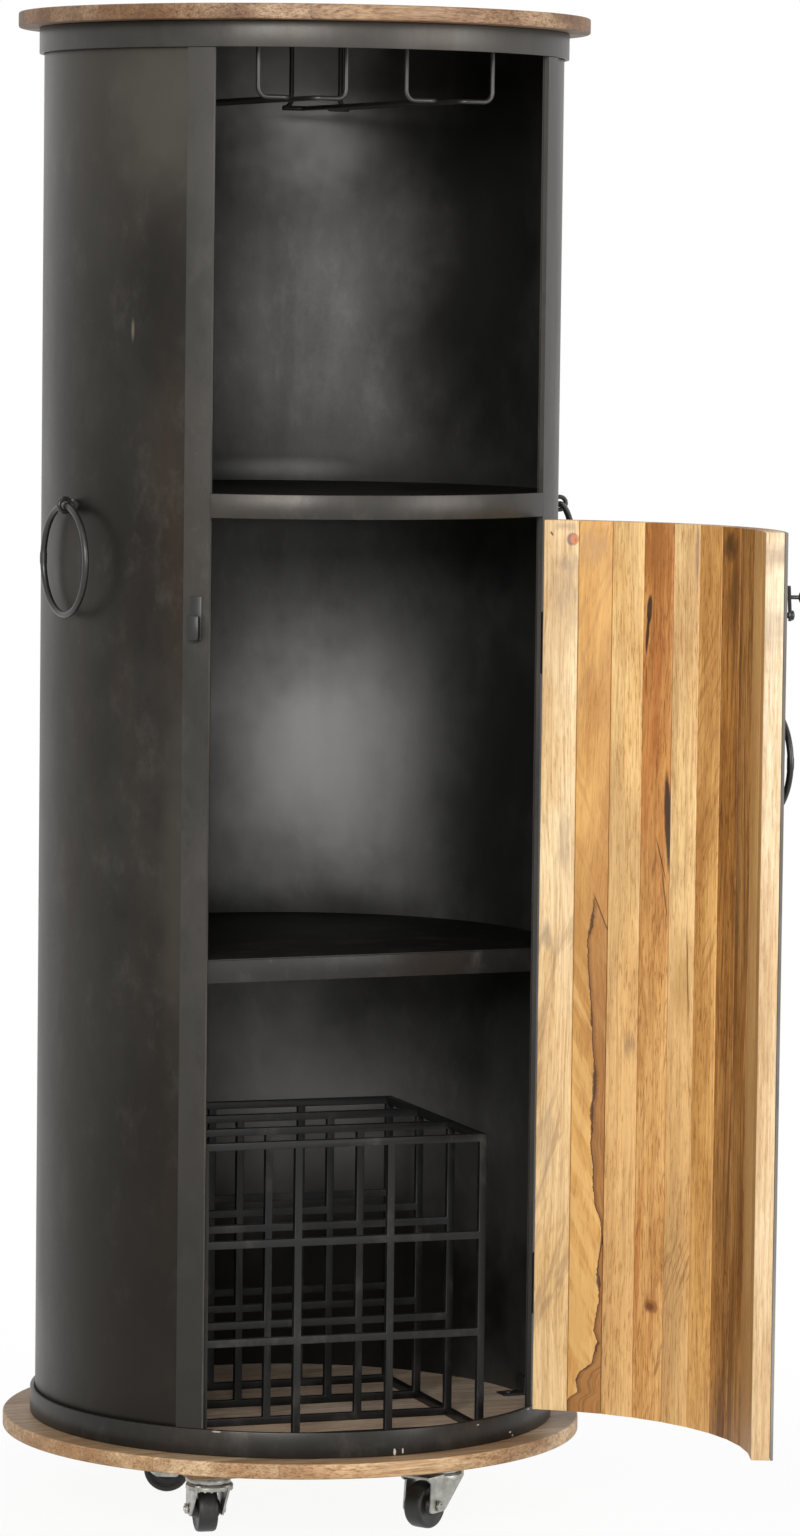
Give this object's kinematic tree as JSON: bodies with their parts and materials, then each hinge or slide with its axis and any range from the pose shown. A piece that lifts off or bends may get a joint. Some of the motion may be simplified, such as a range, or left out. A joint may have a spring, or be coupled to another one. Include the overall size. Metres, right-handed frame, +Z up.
{
  "type": "wine bar cabinet",
  "caption": "Round metal drum bar cabinet on casters with wooden top and base, hanging stemware rails, shelves, a curved stave door and a wire bottle rack.",
  "frame": {"origin": "on the drum's vertical axis at floor level", "axes": "+Z up, -Y towards the front opening, +X towards the hinge side of the door"},
  "size_m": [0.6476, 0.8875, 1.6002],
  "materials": {
    "gunmetal_sheet": "semi-gloss",
    "gunmetal_bar": "semi-gloss",
    "mango_wood": "waxed",
    "pale_stave": "waxed",
    "golden_stave": "waxed",
    "brown_stave": "waxed",
    "zinc_plate": "zinc plated",
    "black_wheel": "matt"
  },
  "bodies": {
    "cabinet": {"back_left_caster_plate": "zinc_plate", "back_right_caster_plate": "zinc_plate", "base_batten_left": "mango_wood", "base_batten_right": "mango_wood", "base_board": "mango_wood", "body_shell": "gunmetal_sheet", "bottom_band": "gunmetal_bar", "front_left_caster_plate": "zinc_plate", "front_right_caster_plate": "zinc_plate", "latch_keeper": "gunmetal_bar", "left_eye": "gunmetal_bar", "left_hanger_left_rail": "gunmetal_bar", "left_hanger_right_rail": "gunmetal_bar", "left_stile": "gunmetal_bar", "lower_hinge_pin_knuckle": "gunmetal_bar", "lower_shelf": "gunmetal_sheet", "rack_grid_1": "gunmetal_bar", "rack_grid_2": "gunmetal_bar", "rack_grid_3": "gunmetal_bar", "rack_grid_4": "gunmetal_bar", "right_eye": "gunmetal_bar", "right_hanger_left_rail": "gunmetal_bar", "right_hanger_right_rail": "gunmetal_bar", "right_stile": "gunmetal_bar", "top_band": "gunmetal_bar", "top_board": "mango_wood", "upper_hinge_pin_knuckle": "gunmetal_bar", "upper_shelf": "gunmetal_sheet"},
    "door": {"door_eye": "gunmetal_bar", "door_skin": "gunmetal_sheet", "door_stave_01": "pale_stave", "door_stave_02": "golden_stave", "door_stave_03": "pale_stave", "door_stave_04": "brown_stave", "door_stave_05": "pale_stave", "door_stave_06": "golden_stave", "door_stave_07": "brown_stave", "door_stave_08": "pale_stave", "door_stave_09": "golden_stave", "door_stave_10": "pale_stave", "latch_pivot": "gunmetal_bar", "lower_hinge_door_knuckle": "gunmetal_bar", "upper_hinge_door_knuckle": "gunmetal_bar"},
    "latch": {"latch_lever": "gunmetal_bar"},
    "left_ring": {"left_ring": "gunmetal_bar"},
    "right_ring": {"right_ring": "gunmetal_bar"},
    "door_ring": {"door_ring": "gunmetal_bar"},
    "front_left_swivel": {"front_left_fork": "zinc_plate", "front_left_axle": "zinc_plate"},
    "front_left_roller": {"front_left_wheel": "black_wheel"},
    "front_right_swivel": {"front_right_fork": "zinc_plate", "front_right_axle": "zinc_plate"},
    "front_right_roller": {"front_right_wheel": "black_wheel"},
    "back_left_swivel": {"back_left_fork": "zinc_plate", "back_left_axle": "zinc_plate"},
    "back_left_roller": {"back_left_wheel": "black_wheel"},
    "back_right_swivel": {"back_right_fork": "zinc_plate", "back_right_axle": "zinc_plate"},
    "back_right_roller": {"back_right_wheel": "black_wheel"}
  },
  "joints": [
    {"name": "door_hinge", "type": "hinge", "parent": "cabinet", "child": "door", "pos_m": [0.19053, -0.21276, 0.6], "axis": [0, 0, 1], "range_deg": [-105, 75]},
    {"name": "latch_turn", "type": "hinge", "parent": "door", "child": "latch", "pos_m": [0.2905, -0.56592, 0.9919], "axis": [0.9135, -0.4067, 0], "range_deg": [0, 158]},
    {"name": "left_ring_swing", "type": "hinge", "parent": "cabinet", "child": "left_ring", "pos_m": [-0.28507, -0.04515, 1.0841], "axis": [-0.0349, 0.9994, 0], "range_deg": [-4, 150]},
    {"name": "right_ring_swing", "type": "hinge", "parent": "cabinet", "child": "right_ring", "pos_m": [0.28507, -0.04515, 1.0841], "axis": [-0.1564, -0.9877, 0], "range_deg": [-4, 150]},
    {"name": "door_ring_swing", "type": "hinge", "parent": "door", "child": "door_ring", "pos_m": [0.32825, -0.45186, 0.8941], "axis": [0, -1, 0], "range_deg": [-4, 150]},
    {"name": "front_left_caster_swivel", "type": "hinge", "parent": "cabinet", "child": "front_left_swivel", "pos_m": [-0.13989, -0.11328, 0.06], "axis": [0, 0, 1], "continuous": true},
    {"name": "front_left_wheel_roll", "type": "hinge", "parent": "front_left_swivel", "child": "front_left_roller", "pos_m": [-0.13469, -0.08882, 0.025], "axis": [-0.9781, 0.2079, 0], "continuous": true},
    {"name": "front_right_caster_swivel", "type": "hinge", "parent": "cabinet", "child": "front_right_swivel", "pos_m": [0.11328, -0.13989, 0.06], "axis": [0, 0, 1], "continuous": true},
    {"name": "front_right_wheel_roll", "type": "hinge", "parent": "front_right_swivel", "child": "front_right_roller", "pos_m": [0.09163, -0.15239, 0.025], "axis": [0.5, -0.866, 0], "continuous": true},
    {"name": "back_left_caster_swivel", "type": "hinge", "parent": "cabinet", "child": "back_left_swivel", "pos_m": [-0.11328, 0.13989, 0.06], "axis": [0, 0, 1], "continuous": true},
    {"name": "back_left_wheel_roll", "type": "hinge", "parent": "back_left_swivel", "child": "back_left_roller", "pos_m": [-0.0912, 0.12815, 0.025], "axis": [0.4695, 0.8829, 0], "continuous": true},
    {"name": "back_right_caster_swivel", "type": "hinge", "parent": "cabinet", "child": "back_right_swivel", "pos_m": [0.13989, 0.11328, 0.06], "axis": [0, 0, 1], "continuous": true},
    {"name": "back_right_wheel_roll", "type": "hinge", "parent": "back_right_swivel", "child": "back_right_roller", "pos_m": [0.11824, 0.12578, 0.025], "axis": [-0.5, -0.866, 0], "continuous": true}
  ]
}
